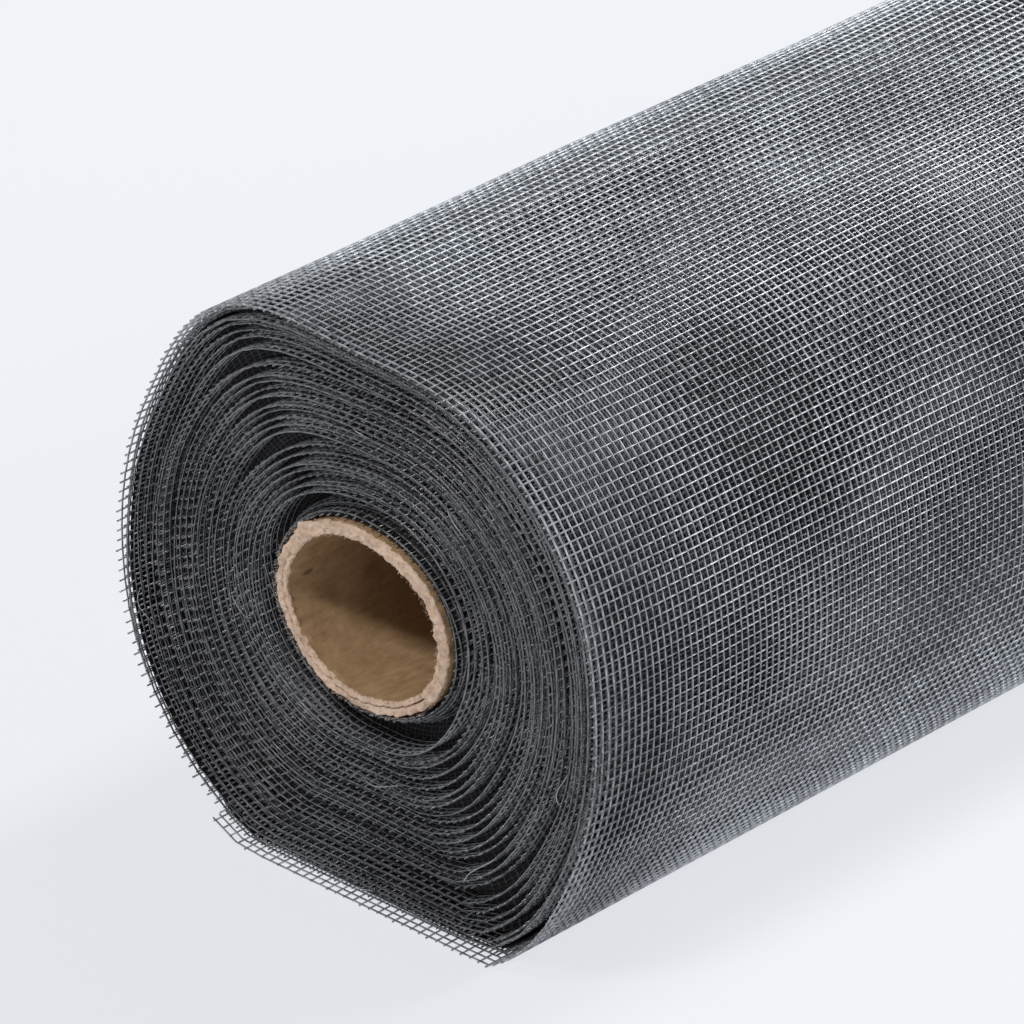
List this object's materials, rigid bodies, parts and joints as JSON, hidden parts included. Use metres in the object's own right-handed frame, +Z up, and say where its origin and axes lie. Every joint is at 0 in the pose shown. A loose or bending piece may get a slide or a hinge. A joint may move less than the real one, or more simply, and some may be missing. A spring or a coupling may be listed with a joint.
{
  "type": "roll of insect screen mesh",
  "caption": "Roll of open woven insect screen mesh wound on a paper tube, lying on its sagged underside.",
  "frame": {"origin": "on the floor under the middle of the roll", "axes": "+X along the roll, away from the pictured end; +Z up; +Y to the left of the pictured end"},
  "size_m": [0.6032, 0.1043, 0.0978],
  "materials": {
    "kraft_paper_tube": "matte kraft paper, rough saw cut ends",
    "coated_screen": "charcoal vinyl coated glass yarn, soft sheen"
  },
  "bodies": {
    "root": {"core_tube": "kraft_paper_tube", "screen_roll": "coated_screen"}
  },
  "joints": []
}
